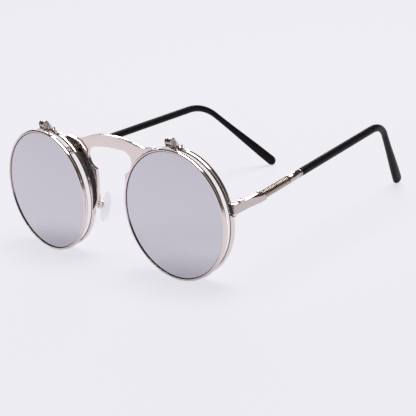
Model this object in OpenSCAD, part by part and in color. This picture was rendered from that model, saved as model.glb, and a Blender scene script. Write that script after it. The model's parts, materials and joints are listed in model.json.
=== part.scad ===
// Round flip-up sunglasses. Millimetres, Z up, resting on the rims and the temple tips.
// The front looks along -Y and X = 0 is the plane of symmetry, so +X is the wearer's left.

/* [Lenses] */
// Width of the opening that each lens shows through
lens_open_d = 48; // [42:0.5:54]
// Distance between the two lens openings across the nose
lens_gap = 25; // [22:0.5:30]
// Thickness of the mirror lenses that flip up
flip_lens_t = 0.7; // [0.6:0.05:0.75]
// Thickness of the clear lenses that stay on the face
rear_lens_t = 1; // [0.8:0.05:1.1]
// Radius of the sphere that each lens is cut from
lens_curve_r = 265; // [180:5:500]
// How far a lens reaches into the groove of its rim
lens_lap = 0.4; // [0.3:0.05:0.45]
// Play between a lens and its groove
lens_clear = 0.05; // [0.02:0.01:0.08]

/* [Rims] */
// Angle by which each rim turns back towards its temple
wrap = 2; // [1:0.5:5]
// Wall of the flip rims, from the lens opening to the outside
flip_wall = 0.9; // [0.8:0.05:1.4]
// Depth of the flip rims from front to back
flip_depth = 1.8; // [1.7:0.05:2.4]
// Depth of a mirror lens's edge behind the front of its rim
flip_recess = 0.7; // [0.5:0.05:0.75]
// How much smaller the radius of the rear rims is than that of the flip rims
rear_step = 0.5; // [0.3:0.05:0.8]
// Wall of the rear rims
rear_wall = 0.85; // [0.8:0.05:1.3]
// Depth of the rear rims from front to back
rear_depth = 2.15; // [2:0.05:3]
// Depth of a clear lens's edge behind the front of its rim
rear_recess = 0.6; // [0.4:0.05:0.7]
// Space between the flip rims and the rear rims
rim_space = 2.45; // [2.2:0.05:3]
// How far the outside of the rims is rounded off towards its edges
rim_round_off = 0.25; // [0.1:0.05:0.3]

/* [Bridge] */
// Thickness of the bridge plate
bridge_t = 1.2; // [0.8:0.1:1.4]
// Front of the bridge plate behind the front of the rear rims
bridge_set = 0.95; // [0.7:0.05:1.2]
// Angle by which the top of the bridge plate leans back
bridge_lean = 2.5; // [0:0.5:4]
// Height of the crown of the bridge above the top of the rear rims
bridge_crown = 1; // [0:0.1:3]
// Height of the band between the crown and the nose opening
bridge_band = 4.7; // [3:0.1:6]
// How far the nose tips stand out from the rear rims
nose_tip = 4; // [2:0.1:5]

/* [Flip hinges] */
// Diameter of the hinge barrels
barrel_d = 3.1; // [2.8:0.1:3.6]
// Length of the hinge barrels
barrel_len = 2.8; // [2.6:0.1:4]
// Height of the hinge axis above the top of the flip rims
flip_axis_up = 2.1; // [1.9:0.1:2.8]
// Distance of the hinge axis behind the front of the flip rims
flip_axis_back = 2.5; // [2.3:0.1:2.8]
// Shift of each hinge from the top of its rim towards the nose
flip_nose_shift = 0.65; // [0:0.05:2]
// Shift of both hinges towards the side where their screws go in
flip_screw_shift = 1.15; // [0:0.05:2]
// Diameter of the pegs that the flip rims close against
peg_d = 0.9; // [0.6:0.05:0.9]
// Direction of a peg from the centre of its rim, above the level through the nose
peg_angle = 52; // [45:1:58]

/* [End pieces] */
// Height of the end pieces' centre above the rims' centres
end_up = 4.75; // [3:0.25:8]
// Height of the block that joins an end piece to its rim
end_block_h = 3.4; // [3.3:0.1:4.5]
// Radius of the end piece's front corner, and half the depth of its block
end_corner_r = 1; // [0.8:0.05:1.2]
// Reach of the block's corner out from the rear rim
end_reach = 1.95; // [1.8:0.05:3]
// Length of the side plate from the corner to the hinge
side_plate_len = 4.75; // [4.4:0.1:8]
// Height of the raised block over the hinge
end_raise = 0.8; // [0.5:0.1:1.2]

/* [Temples] */
// Height of the temple blade and the side plate
blade_h = 3.2; // [3:0.1:4.2]
// Thickness of the temple blade and the side plate
blade_t = 1.2; // [1:0.05:1.5]
// Length of the temple from the hinge to the end of the tip, as opticians measure it
temple_len = 145; // [135:1:150]
// Distance from the hinge to the bend over the ear
temple_reach = 97.3; // [88:0.5:100]
// Angle by which the temples run inwards
temple_yaw = 6.5; // [3:0.5:9]
// Angle by which the temples rise behind the blade
temple_rise = 3.4; // [0:0.1:4]
// Length of the blade up to the cup that holds the spring
blade_len = 9.5; // [8:0.25:14]
// Angle by which the tips turn inwards behind the ear
tip_turn = 20.5; // [0:0.5:25]
// Radius of the bend over the ear
bend_r = 17; // [12:0.5:24]
// Diameter of the sleeve in front of the bend
sleeve_d = 3.1; // [2.8:0.1:3.6]
// Diameter of the sleeve just behind the bend
neck_d = 2.6; // [2.4:0.1:3.2]
// Height of the flared end of the sleeve
tip_h = 4.5; // [3.4:0.1:6]
// Thickness of the flared end of the sleeve
tip_t = 3.3; // [2.8:0.1:4]
// Diameter of the core wire
core_d = 1.4; // [1.2:0.1:1.5]

/* [Springs and ferrules] */
// Outer diameter of the temple springs
spring_d = 3.2; // [3.1:0.05:3.5]
// Thickness of the spring wire
spring_wire = 0.5; // [0.4:0.05:0.5]
// Clear gap between two turns
spring_gap = 0.42; // [0.42:0.02:0.6]
// Number of turns
spring_turns = 18; // [12:1:24]
// Length of the ferrule between spring and sleeve
ferrule_len = 8.1; // [5:0.1:10]
// Diameter of the ferrule
ferrule_d = 2.75; // [2.6:0.05:3]

/* [Nose pads] */
// Height of a nose pad
pad_h = 13; // [11:0.5:14]
// Width of a nose pad
pad_w = 7; // [6:0.25:8]
// Thickness of a nose pad
pad_t = 2; // [1.6:0.1:2.6]
// Distance of a pad's centre from the middle plane
pad_out = 9.9; // [9:0.1:11]
// Distance of a pad's centre behind the front of the flip rims
pad_back = 8; // [7.5:0.1:10]
// Depth of a pad's centre below the rims' centres
pad_down = 5.1; // [3:0.1:8]
// Angle by which the lower ends of the pads spread
pad_spread = 15; // [5:1:20]
// Angle by which the back edges of the pads spread
pad_splay = 25; // [15:1:30]
// Thickness of the pad arm's wire
arm_d = 1; // [0.8:0.05:1.2]

/* [Hidden] */
$fn = 96;

left = 1;
right = -1;

// Clearances
braze = 0.03;
side_play = 0.06;
bore_play = 0.05;
head_play = 0.02;
relief = 0.1;
cut = 1;

// Rims
rim_steps = 3;
flip_r = lens_open_d / 2 + flip_wall;
rear_r = flip_r - rear_step;
rear_front = flip_depth + rim_space;
eye_x = (lens_open_d + lens_gap) / 2;
eye_z = flip_r;

// Flip hinges, in the frame of their rim
pin_d = 0.9;
pin_head_d = 2;
pin_head_t = 0.3;
slot_w = 0.28;
ear_w = 0.7;
barrel_r = barrel_d / 2;
axis_z = flip_r + flip_axis_up;
saddle_t = 0.45;
saddle_depth = 1.4;
saddle_set = 0.1;
saddle_over = 0.9;
stud_x = 1.8;
stud_r = 0.45;
stud_tip_r = 0.28;
stud_h = 2;
tab_set = 0.3;
tab_foot = 4.8;
tab_foot_t = 0.9;
peg_gap = 0.05;

// End pieces and temple hinges
corner_lap = 0.04;
end_forward = 0.25;
blade_out = 1;
knuckle_r = 1.1;
axis_set = 0.9;
axis_in = blade_out - blade_t - axis_set;
knuckle_end = blade_h / 2;
knuckle_half = 0.55;
raise_len = 2.8;
temple_pin_d = 0.9;
temple_head_d = 1.7;
temple_head_t = 0.35;
butt_gap = 0.06;
lock_d = 0.8;
lock_head_d = 1.3;
lock_head_t = 0.4;
lock_w = 1.5;
lock_depth = 1.6;
lock_h = 0.9;
lock_gap = 0.1;
lock_reach = 0.2;

// Temples
blade_flat = 3;
cup_wall = 0.3;
cup_r = spring_d / 2 + cup_wall;
cup_lead = 0.6;
cup_len = 3;
seat = 0.9;
collar_len = 0.7;
spring_len = spring_turns * (spring_wire + spring_gap) + 2 * spring_wire;
ferrule_at = seat + spring_len;
sleeve_at = ferrule_at + ferrule_len;

function unit(v) = v / norm(v);
function turn_z(v, a) = [v[0] * cos(a) - v[1] * sin(a), v[0] * sin(a) + v[1] * cos(a), v[2]];

// Point at x along, y behind and z above the centre of the left rim
function rim_point(x, y, z) = [eye_x, 0, eye_z] + turn_z([x, y, z], wrap);

// The hinge line on the temple's own centreline, and the temple's own frame there
corner_y = rear_front - end_forward + end_corner_r;
corner = rim_point(rear_r + end_reach, corner_y, end_up);
hinge = corner + turn_z([0, side_plate_len, 0], temple_yaw);

// Centreline of a temple in its own frame: straight, round the ear, and down to the ground
along = [0, cos(temple_rise), sin(temple_rise)];
wire_start = [0, blade_len, 0];
bend_point = wire_start + along * (temple_reach - blade_len) / cos(temple_rise);
cap_r = tip_h / 2;
drop_len = temple_len - temple_reach - cap_r;
drop_angle = asin((hinge[2] + bend_point[2] - cap_r) / drop_len);
down = [-cos(drop_angle) * sin(tip_turn), cos(drop_angle) * cos(tip_turn), -sin(drop_angle)];
bend_angle = acos(along * down);
bend_len = bend_r * tan(bend_angle / 2);
bend_start = bend_point - along * bend_len;
bend_end = bend_point + down * bend_len;
flat_out = unit(cross(along, down));
bend_centre = bend_start + cross(flat_out, along) * bend_r;

straight_len = norm(bend_start - wire_start);
fall_len = drop_len - bend_len;
function bend_dir(a) = along * cos(a) + cross(flat_out, along) * sin(a);
function bend_pos(a) = bend_centre + along * bend_r * sin(a) - cross(flat_out, along) * bend_r * cos(a);

// A station is [centre, direction, half height, half thickness]
bend_steps = 9;
fall_steps = 8;
cap_steps = 5;
sleeve_r = sleeve_d / 2;
neck_r = neck_d / 2;
function flare(q) = q * q * (3 - 2 * q);
function straight_stations(from, r) = [
    [wire_start + along * from, along, r, r]
];
function bend_stations(r0, r1) = [
    for (i = [0:bend_steps])
        let (a = bend_angle * i / bend_steps, r = r0 + (r1 - r0) * i / bend_steps)
        [bend_pos(a), bend_dir(a), r, r]
];
function fall_stations(last, steps, r, a, b) = [
    for (i = [1:steps])
        let (q = last * i / steps)
        [bend_end + down * fall_len * q, down, r + (a - r) * flare(q), r + (b - r) * flare(q)]
];
function cap_stations() = [
    for (i = [1:cap_steps])
        let (f = 82 * i / cap_steps)
        [bend_end + down * (fall_len + cap_r * sin(f)), down, cap_r * cos(f), tip_t / 2 * cos(f)]
];
function station_ring(s, sides) = [
    for (k = [0:sides - 1])
        let (a = 360 * k / sides)
        s[0] + cross(flat_out, s[1]) * s[2] * cos(a) + flat_out * s[3] * sin(a)
];

sleeve_sides = 16;
core_sides = 8;
core_start = -0.2;
core_short = 11.1;
core_end = 1 - core_short / fall_len;
sleeve_outer = concat(
    straight_stations(sleeve_at, sleeve_r),
    bend_stations(sleeve_r, neck_r),
    fall_stations(1, fall_steps, neck_r, cap_r, tip_t / 2),
    cap_stations()
);
bore_r = (core_d / 2 + bore_play) / cos(180 / sleeve_sides);
sleeve_inner = concat(
    straight_stations(sleeve_at, bore_r),
    bend_stations(bore_r, bore_r),
    fall_stations(core_end + 0.02, 3, bore_r, bore_r, bore_r)
);
core_line = concat(
    straight_stations(core_start, core_d / 2),
    bend_stations(core_d / 2, core_d / 2),
    fall_stations(core_end, 3, core_d / 2, core_d / 2, core_d / 2)
);

// The model's middle, half way between its foremost and its rearmost point
function temple_y(p) = hinge[1] + turn_z(p, temple_yaw)[1];
front_y = -(flip_r - rim_round_off) * sin(wrap);
back_y = max([for (s = sleeve_outer) for (p = station_ring(s, sleeve_sides)) temple_y(p)]);
middle_y = (front_y + back_y) / 2;

// Faces of a tube of rings, of its flat ends, and of both together
function skin(rings, sides, first, hollow) = [
    for (i = [0:rings - 2])
        for (k = [0:sides - 1])
            let (a = first + i * sides + k, b = first + i * sides + (k + 1) % sides)
            for (f = [[a, b, b + sides], [a, b + sides, a + sides]])
                hollow ? f : [f[2], f[1], f[0]]
];
function fan(sides, first, far) = [
    for (k = [1:sides - 2])
        far ? [first, first + k + 1, first + k] : [first, first + k, first + k + 1]
];
function tube_faces(rings, sides) = concat(
    fan(sides, 0, false),
    skin(rings, sides, 0, false),
    fan(sides, (rings - 1) * sides, true)
);
function flatten(lists) = [for (l = lists) for (p = l) p];

// Smooth curve through points, with the end points doubled
function spline_at(p, i, u) =
    let (
        a = p[max(i - 1, 0)],
        b = p[i],
        c = p[i + 1],
        d = p[min(i + 2, len(p) - 1)]
    )
    0.5 * (2 * b + (c - a) * u + (2 * a - 5 * b + 4 * c - d) * u * u + (3 * b - a - 3 * c + d) * u * u * u);
function spline(p, steps) = concat(
    [for (i = [0:len(p) - 2]) for (k = [0:steps - 1]) spline_at(p, i, k / steps)],
    [p[len(p) - 1]]
);

// Colours
silver = [0.86, 0.82, 0.8];
dark_silver = [0.62, 0.59, 0.58];
mirror_tint = [0.76, 0.75, 0.82];
clear_tint = [0.85, 0.92, 0.95, 0.4];
black = [0.08, 0.08, 0.09];
pad_tint = [0.93, 0.95, 0.96, 0.5];

module in_place() {
    translate([0, -middle_y, 0]) children();
}

module on_side(side) {
    if (side == left) {
        children();
    } else {
        mirror([1, 0, 0]) children();
    }
}

// The frame of one rim: x to +X, y behind the flip rim's front, z above the rim's centre
module at_rim(side) {
    in_place() translate([side * eye_x, 0, eye_z]) rotate([0, 0, side * wrap]) children();
}

// The frame of one temple: x outwards, y backwards from the hinge, z above its centreline
module at_temple(side) {
    in_place() on_side(side) translate(hinge) rotate([0, 0, temple_yaw]) children();
}

// The frame of the wire line behind a blade: y runs along the wire
module at_wire() {
    translate(wire_start) rotate([temple_rise, 0, 0]) children();
}

module disc_y(r, y0, y1) {
    translate([0, y0, 0]) rotate([-90, 0, 0]) cylinder(r = r, h = y1 - y0);
}

module disc_x(r, x0, x1) {
    translate([x0, 0, 0]) rotate([0, 90, 0]) cylinder(r = r, h = x1 - x0);
}

module disc_z(r, z0, z1) {
    translate([0, 0, z0]) cylinder(r = r, h = z1 - z0);
}

module block(low, high) {
    translate(low) cube(high - low);
}

// A profile of [y, z] points pulled along x
module pull_x(points, x0, x1) {
    translate([x0, 0, 0]) rotate([90, 0, 90]) linear_extrude(x1 - x0) polygon(points);
}

// A profile of [x, z] points pulled along y
module pull_y(points, y0, y1) {
    translate([0, y1, 0]) rotate([90, 0, 0]) linear_extrude(y1 - y0) polygon(points);
}

// Rims and lenses

module rim_ring(outer_r, wall, depth, recess, lens_t) {
    inner_r = outer_r - wall;
    groove_r = inner_r + lens_lap + lens_clear;
    groove_front = recess - lens_clear;
    groove_back = recess + lens_t + lens_clear;
    outside = [
        for (i = [-rim_steps:rim_steps])
            let (q = i / rim_steps)
            [outer_r - rim_round_off * q * q, depth * (1 + q) / 2]
    ];
    rotate([-90, 0, 0]) rotate_extrude($fn = 180) polygon(concat(
        [[inner_r, 0]],
        outside,
        [
            [inner_r, depth],
            [inner_r, groove_back],
            [groove_r, groove_back],
            [groove_r, groove_front],
            [inner_r, groove_front]
        ]
    ));
}

module lens(outer_r, wall, recess, lens_t) {
    lens_r = outer_r - wall + lens_lap;
    centre = recess + sqrt(lens_curve_r * lens_curve_r - lens_r * lens_r);
    difference() {
        intersection() {
            disc_y(lens_r, centre - lens_curve_r - cut, recess + lens_t);
            translate([0, centre, 0]) sphere(r = lens_curve_r, $fn = 200);
        }
        translate([0, centre, 0]) sphere(r = lens_curve_r - lens_t, $fn = 200);
    }
}

module flip_rim(side) {
    color(silver) at_rim(side) rim_ring(flip_r, flip_wall, flip_depth, flip_recess, flip_lens_t);
}

module mirror_lens(side) {
    color(mirror_tint) at_rim(side) lens(flip_r, flip_wall, flip_recess, flip_lens_t);
}

lock_x = rear_r + braze + lock_w / 2;
lock_z = end_up - end_block_h / 2 - lock_gap;

// The rear rim is slit beside its closing screw, so that the lens can be changed
module rear_rim(side) {
    mid_r = rear_r - rear_wall / 2;
    rear_back = rear_front + rear_depth;
    color(silver) at_rim(side) on_side(side) difference() {
        union() {
            translate([0, rear_front, 0])
                rim_ring(rear_r, rear_wall, rear_depth, rear_recess, rear_lens_t);
            difference() {
                block([mid_r, corner_y - lock_depth / 2, lock_z - lock_h],
                      [lock_x + lock_w / 2, corner_y + lock_depth / 2, lock_z]);
                disc_y(mid_r + cut / 10, rear_front - cut, rear_back + cut);
            }
        }
        block([rear_r - rear_wall - cut, rear_front - cut, lock_z],
              [rear_r + cut, rear_back + cut, lock_z + lock_gap]);
        translate([lock_x, corner_y, 0])
            disc_z(lock_d / 2 + bore_play, lock_z - lock_h - cut, lock_z + cut);
    }
}

module rear_lens(side) {
    color(clear_tint) at_rim(side) translate([0, rear_front, 0])
        lens(rear_r, rear_wall, rear_recess, rear_lens_t);
}

module rim_lock_screw(side) {
    bottom = lock_z - lock_h - head_play;
    color(dark_silver) at_rim(side) on_side(side) translate([lock_x, corner_y, 0]) {
        disc_z(lock_d / 2, bottom - lock_head_t / 4, end_up - lock_reach);
        difference() {
            disc_z(lock_head_d / 2, bottom - lock_head_t, bottom);
            block([-slot_w / 2, -lock_head_d, bottom - lock_head_t - cut],
                  [slot_w / 2, lock_head_d, bottom - lock_head_t / 2]);
        }
    }
}

// Bridge plate

// Half of the front outline, in hundredths of the rear rim's radius, so that it grows with the rim:
// points near the middle plane, points from the rim's nasal edge, and points of the nose opening.
share = rear_r / 100;
nasal_x = eye_x - rear_r;
crown_z = rear_r + bridge_crown;
function near_middle(x, z) = [x * share, crown_z - z * share];
function from_rim(x, z) = [nasal_x + x * share, crown_z - z * share];
function in_opening(x, z) = [nasal_x + x * share, crown_z - bridge_band - z * share];
top_edge = spline([
    near_middle(0, 0), near_middle(13.9, 0.6), near_middle(26.6, 1.8), from_rim(-7.4, 4.9),
    from_rim(7, 9), from_rim(26.2, 12.9), from_rim(41, 12.1), from_rim(52, 11.1)
], 5);
rim_side = [from_rim(53.3, 18), from_rim(36.9, 49.2), from_rim(16.4, 90.2), from_rim(4.1, 118.9)];
leg_edge = spline([
    from_rim(2, 127), from_rim(-4.5, 119.7), from_rim(-10.7, 109.4), from_rim(-14.1, 96.3),
    from_rim(-15.6, 79.5), from_rim(0, 61.1) - [nose_tip, 0]
], 5);
opening_edge = spline([
    from_rim(0.4, 58.2) - [nose_tip, 0], in_opening(-6.6, 34.4), in_opening(-0.8, 27),
    in_opening(1.2, 18), in_opening(-0.8, 10.7), in_opening(-7.4, 5.3), in_opening(-18, 2),
    [0, crown_z - bridge_band]
], 5);
half_outline = concat(top_edge, rim_side, leg_edge, opening_edge);
other_half = [for (i = [len(half_outline) - 2:-1:1]) [-half_outline[i][0], half_outline[i][1]]];

// The plate is rolled to a large radius, so that its wings lie in the planes of the rims
roll_r = (eye_x - rear_r * 0.75) / sin(wrap);
bridge_y = (rear_front + bridge_set) * cos(wrap) - rear_r * sin(wrap) - nasal_x * nasal_x / (2 * roll_r);
lean_z = rear_r / 2;

module bridge_plate() {
    span = rear_r / 2;
    tall = 2 * rear_r;
    color(silver) in_place() difference() {
        intersection() {
            translate([0, 0, eye_z])
                pull_y(concat(half_outline, other_half), bridge_y - span, bridge_y + span);
            translate([0, bridge_y, eye_z + lean_z]) rotate([-bridge_lean, 0, 0])
                translate([0, roll_r, 0]) difference() {
                    cylinder(r = roll_r, h = 2 * tall, center = true, $fn = 720);
                    cylinder(r = roll_r - bridge_t, h = 2 * tall + cut, center = true, $fn = 720);
                }
        }
        for (side = [left, right]) {
            translate([side * eye_x, 0, eye_z]) rotate([0, 0, side * wrap])
                disc_y(rear_r + braze, -span, 2 * span);
        }
    }
}

// Flip hinges. The same hinge is used on both rims, so both screws go in from +X.

module at_flip_hinge(side) {
    at_rim(side) translate([flip_screw_shift - side * flip_nose_shift, flip_axis_back, axis_z]) children();
}

// The same place without the rim's own frame, for cuts made in the frame of the hinge
module rim_round(side, r) {
    translate([side * flip_nose_shift - flip_screw_shift, -flip_axis_back, -axis_z])
        disc_y(r, -cut, flip_depth + rim_space + rear_depth + cut);
}

module flip_hinge_base(side) {
    rim_y = rear_front - flip_axis_back;
    foot_z = rear_r - axis_z;
    leg = [
        [saddle_set, -barrel_r + braze],
        [rim_y + saddle_set, foot_z - saddle_t],
        [rim_y + saddle_depth, foot_z - saddle_t],
        [rim_y + saddle_depth, foot_z + saddle_t],
        [barrel_r * cos(30), barrel_r * sin(30)]
    ];
    color(silver) at_flip_hinge(side) difference() {
        union() {
            for (x = [-barrel_len / 2, barrel_len / 2 - ear_w]) {
                disc_x(barrel_r, x, x + ear_w);
                pull_x(leg, x, x + ear_w);
            }
            intersection() {
                rim_round(side, rear_r + saddle_t);
                block([-barrel_len / 2 - saddle_over, rim_y + saddle_set, foot_z - 1],
                      [barrel_len / 2 + stud_x + 0.6, rim_y + saddle_depth, foot_z + 1]);
            }
            translate([barrel_len / 2 + stud_x, rim_y + saddle_depth / 2, foot_z - 0.6])
                cylinder(r1 = stud_r, r2 = stud_tip_r, h = stud_h);
        }
        rim_round(side, rear_r + braze);
        disc_x(pin_d / 2 + head_play, -barrel_len, barrel_len);
        disc_x(pin_head_d / 2 + head_play, barrel_len / 2 - pin_head_t - head_play, barrel_len);
    }
}

module flip_hinge_screw(side) {
    head_x = barrel_len / 2 - pin_head_t;
    color(dark_silver) at_flip_hinge(side) difference() {
        union() {
            disc_x(pin_d / 2, -barrel_len / 2, head_x + pin_head_t / 2);
            disc_x(pin_head_d / 2, head_x, head_x + pin_head_t);
        }
        block([head_x + pin_head_t / 2, -pin_head_d, -slot_w / 2], [barrel_len, pin_head_d, slot_w / 2]);
    }
}

module flip_tab(side) {
    half = barrel_len / 2 - ear_w - side_play;
    rim_z = flip_r - axis_z;
    neck = [
        [-barrel_r * cos(15), -barrel_r * sin(15)],
        [tab_set - flip_axis_back, rim_z - tab_set],
        [flip_depth - tab_set - flip_axis_back, rim_z - tab_set],
        [0, -barrel_r + braze]
    ];
    // The foot runs out along the rim on both sides of the barrel
    foot_half = spline([
        [tab_foot, rim_z - 0.75], [tab_foot * 0.65, rim_z + 0.1],
        [tab_foot * 0.4, rim_z + 0.4], [half, rim_z + 0.95]
    ], 4);
    foot = concat(
        [[-tab_foot, rim_z - 1.5], [tab_foot, rim_z - 1.5]],
        foot_half,
        [for (i = [len(foot_half) - 1:-1:0]) [-foot_half[i][0], foot_half[i][1]]]
    );
    color(silver) at_flip_hinge(side) difference() {
        union() {
            disc_x(barrel_r, -half, half);
            pull_x(neck, -half, half);
            pull_y(foot, tab_set - flip_axis_back, tab_set + tab_foot_t - flip_axis_back);
        }
        rim_round(side, flip_r + braze);
        disc_x(pin_d / 2 + bore_play, -barrel_len, barrel_len);
    }
}

module stop_peg(side) {
    peg_r = rear_r - rear_wall / 2;
    color(dark_silver) at_rim(side) on_side(side)
        translate([-peg_r * cos(peg_angle), 0, peg_r * sin(peg_angle)])
            disc_y(peg_d / 2, flip_depth + peg_gap, rear_front, $fn = 32);
}

// End pieces and temple hinges

module knuckle(z0, z1, back) {
    translate([axis_in, 0, 0]) disc_z(knuckle_r, z0, z1);
    y0 = back ? 0 : -knuckle_r * 1.5;
    block([axis_in, y0, z0], [blade_out - blade_t + relief, y0 + knuckle_r * 1.5, z1]);
}

module knuckle_relief(z0, z1) {
    translate([axis_in, 0, 0]) disc_z(knuckle_r + relief, z0, z1);
}

module temple_pin_bore(play) {
    translate([axis_in, 0, 0]) disc_z(temple_pin_d / 2 + play, -2 * blade_h, 2 * blade_h);
}

module end_piece(side) {
    color(silver) difference() {
        union() {
            at_rim(side) on_side(side) translate([0, corner_y, end_up])
                block([rear_r - end_corner_r, -end_corner_r, -end_block_h / 2],
                      [rear_r + end_reach, end_corner_r, end_block_h / 2]);
            at_temple(side) {
                translate([0, -side_plate_len, 0])
                    disc_z(end_corner_r + corner_lap, -end_block_h / 2, end_block_h / 2);
                difference() {
                    union() {
                        block([blade_out - blade_t, -side_plate_len, -blade_h / 2],
                              [blade_out, -butt_gap, blade_h / 2]);
                        block([blade_out - blade_t, -butt_gap - raise_len, 0],
                              [blade_out, -butt_gap, blade_h / 2 + end_raise]);
                        knuckle(-knuckle_end, -knuckle_half, false);
                        knuckle(knuckle_half, knuckle_end, false);
                    }
                    knuckle_relief(-knuckle_half, knuckle_half);
                    temple_pin_bore(head_play);
                }
            }
        }
        at_rim(side) {
            disc_y(rear_r + braze, rear_front - 2, rear_front + rear_depth + 2);
            on_side(side) translate([lock_x, corner_y, 0])
                disc_z(lock_d / 2 + head_play, lock_z - cut, end_up - lock_reach / 2);
        }
    }
}

module temple_screw(side) {
    color(dark_silver) at_temple(side) translate([axis_in, 0, 0]) difference() {
        union() {
            disc_z(temple_pin_d / 2, -knuckle_end, knuckle_end + head_play + temple_head_t / 2);
            disc_z(temple_head_d / 2, knuckle_end + head_play, knuckle_end + head_play + temple_head_t);
        }
        block([-temple_head_d, -slot_w / 2, knuckle_end + head_play + temple_head_t / 2],
              [temple_head_d, slot_w / 2, knuckle_end + cut]);
    }
}

// The blade starts flat at the hinge and grows into the cup that holds the spring
module temple_blade(side) {
    blade_in = blade_out - blade_t;
    mouth = cup_len - cup_lead;
    color(silver) at_temple(side) difference() {
        union() {
            block([blade_in, butt_gap, -blade_h / 2], [blade_out, blade_flat, blade_h / 2]);
            knuckle(side_play - knuckle_half, knuckle_half - side_play, true);
            hull() {
                block([blade_in, blade_flat - cut / 10, -blade_h / 2], [blade_out, blade_flat, blade_h / 2]);
                at_wire() disc_y(cup_r, -cup_lead, 0, $fn = 32);
            }
            at_wire() disc_y(cup_r, -cup_lead / 2, mouth);
        }
        at_wire() {
            disc_y(spring_d / 2 + braze, seat, cup_len + cut);
            disc_y(core_d / 2 + bore_play, core_start, cup_len);
            // The cup's mouth is cut back at the top, so that the turns show from above
            pull_x([
                [mouth + cut, cup_r + cut], [seat, cup_r + cut],
                [mouth, -cup_r * 0.4], [mouth + cut, -cup_r * 0.4]
            ], -2 * cup_r, 2 * cup_r);
        }
        knuckle_relief(-blade_h, side_play - knuckle_half);
        knuckle_relief(knuckle_half - side_play, blade_h);
        temple_pin_bore(bore_play);
    }
}

// Core wire, from the cup through spring and ferrule to near the end of the sleeve
module temple_core(side) {
    color(dark_silver) at_temple(side) polyhedron(
        points = flatten([for (s = core_line) station_ring(s, core_sides)]),
        faces = tube_faces(len(core_line), core_sides)
    );
}

// Spring: one wire round the core, its ends square to the cup and the ferrule
spring_sides = 6;
turn_rings = 8;
spring_mid_r = spring_d / 2 - spring_wire / 2;
spring_pitch = spring_wire + spring_gap;
function spring_on(t) = [
    spring_mid_r * cos(360 * t), spring_wire + spring_pitch * t, spring_mid_r * sin(360 * t)
];
spring_line = concat(
    [[spring_mid_r, 0, 0]],
    [for (i = [0:spring_turns * turn_rings]) spring_on(i / turn_rings)],
    [[spring_mid_r, spring_len, 0]]
);
function line_dir(p, i) =
    i == 0 ? unit(p[1] - p[0]) :
    i == len(p) - 1 ? unit(p[i] - p[i - 1]) :
    unit(unit(p[i + 1] - p[i]) + unit(p[i] - p[i - 1]));
function wire_ring(p, i, r, sides, ref) =
    let (t = line_dir(p, i), n = unit(cross(ref, t)), b = cross(t, n))
    [for (k = [0:sides - 1]) p[i] + n * r * cos(360 * k / sides) + b * r * sin(360 * k / sides)];
function spring_ring(i) =
    let (
        last = len(spring_line) - 1,
        t = line_dir(spring_line, i),
        out = unit([spring_line[i][0], 0, spring_line[i][2]]),
        n = unit(out - t * (out * t)),
        b = cross(t, n),
        mitre = i == 1 || i == last - 1 ? sqrt(2) : 1
    )
    [for (k = [0:spring_sides - 1]) let (a = 360 * k / spring_sides)
        spring_line[i] + (n * cos(a) + b * mitre * sin(a)) * spring_wire / 2];

// Least gap between turns: centres more than half a turn apart, less the wire
spring_least_gap = min([
    for (i = [0:len(spring_line) - 1])
        for (j = [i + turn_rings * 3 / 4:min(i + 2 * turn_rings, len(spring_line) - 1)])
            norm(spring_line[i] - spring_line[j])
]) - spring_wire;
echo(spring_least_gap = spring_least_gap);

module temple_spring(side) {
    rings = len(spring_line);
    color(dark_silver) at_temple(side) at_wire() translate([0, seat, 0]) polyhedron(
        points = flatten([for (i = [0:rings - 1]) spring_ring(i)]),
        faces = tube_faces(rings, spring_sides)
    );
}

module temple_ferrule(side) {
    color(silver) at_temple(side) at_wire() difference() {
        union() {
            disc_y(spring_d / 2, ferrule_at, ferrule_at + collar_len);
            disc_y(ferrule_d / 2, ferrule_at, sleeve_at);
            disc_y(sleeve_r, sleeve_at - collar_len, sleeve_at);
        }
        disc_y(core_d / 2 + bore_play, ferrule_at - cut, sleeve_at + cut);
    }
}

module temple_sleeve(side) {
    outer = len(sleeve_outer);
    inner = len(sleeve_inner);
    n = sleeve_sides;
    first = outer * n;
    color(black) at_temple(side) polyhedron(
        points = concat(
            flatten([for (s = sleeve_outer) station_ring(s, n)]),
            flatten([for (s = sleeve_inner) station_ring(s, n)])
        ),
        faces = concat(
            skin(outer, n, 0, false),
            fan(n, (outer - 1) * n, true),
            skin(inner, n, first, true),
            fan(n, first + (inner - 1) * n, false),
            [for (k = [0:n - 1]) let (k1 = (k + 1) % n) for (f = [
                [k, first + k1, first + k],
                [k, k1, first + k1]
            ]) f]
        )
    );
}

// Nose pads and their arms

pad_centre = [pad_out, pad_back, eye_z - pad_down];
pad_axis_x = pad_t / 2 + 0.95;
box_wall = 0.4;
boss_w = 1.2;
boss_h = 2;
boss_r = 0.55;
box_in = pad_t / 2 + 0.35;
box_depth = 1.75;
box_out = box_in + box_depth;
pad_pin_d = 0.6;
pad_sides = 24;
pad_steps = 4;

function pad_point(p) =
    let (
        x = p[0] * cos(pad_spread) - p[2] * sin(pad_spread),
        z = p[0] * sin(pad_spread) + p[2] * cos(pad_spread),
        q = [x, p[1], z]
    )
    pad_centre + turn_z(q, -pad_splay);

module at_pad(side) {
    in_place() on_side(side) translate(pad_centre)
        rotate([0, 0, -pad_splay]) rotate([0, -pad_spread, 0]) children();
}

// Rounded oval: an ellipse in each slice, drawn in towards both faces
function pad_ring(x, k) = [
    for (j = [0:pad_sides - 1])
        let (a = 360 * j / pad_sides, egg = 1 - 0.12 * sin(a))
        [x, pad_w / 2 * k * egg * cos(a), pad_h / 2 * k * sin(a)]
];

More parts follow.
